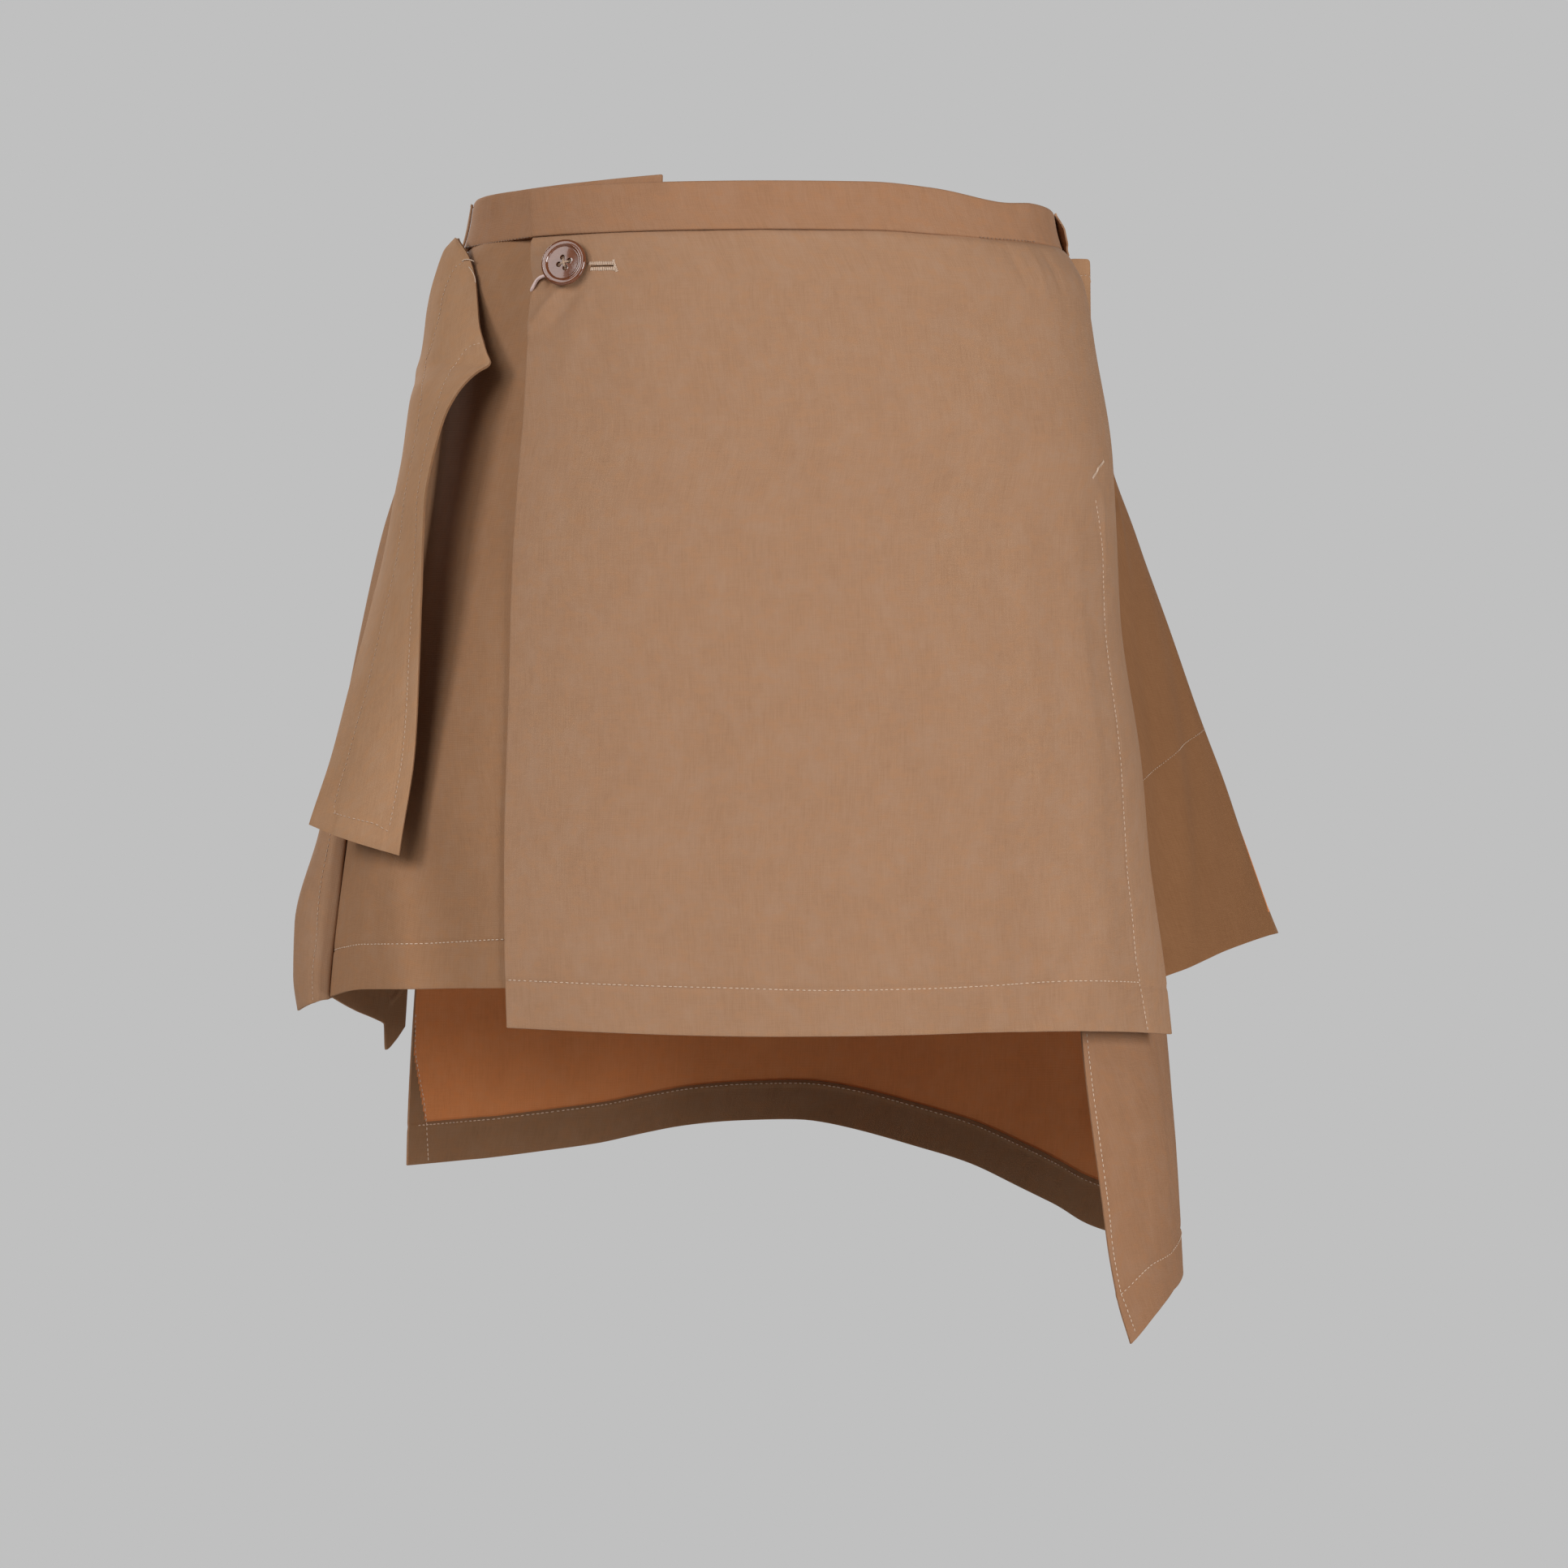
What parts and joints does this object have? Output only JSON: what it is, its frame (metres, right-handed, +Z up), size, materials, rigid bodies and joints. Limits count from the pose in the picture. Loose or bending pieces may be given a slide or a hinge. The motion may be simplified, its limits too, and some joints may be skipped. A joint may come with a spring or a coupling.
{
  "type": "wrap kilt skirt",
  "caption": "Asymmetric wrap kilt skirt in worn form: waistband, lapped front panels, longer pointed back, flared hip drapes and tab.",
  "frame": {"origin": "centre of the waist ring, at half the waistband's height", "axes": "+Z up along the wearer's body, -Y out of the front, +X to the right as seen from the front"},
  "size_m": [0.4598, 0.2684, 0.5216],
  "materials": {
    "wool": "matt plain-weave wool, tan",
    "button": "glossy brown",
    "cord": "pale pink thread cord"
  },
  "bodies": {
    "root": {"waistband": "wool", "front_overlap": "wool", "front_underlap": "wool", "back_panel": "wool", "left_wing": "wool", "right_wing": "wool", "left_flap": "wool", "belt_loop_left": "wool", "belt_loop_right": "wool", "button": "button", "button_loop": "cord"}
  },
  "joints": []
}
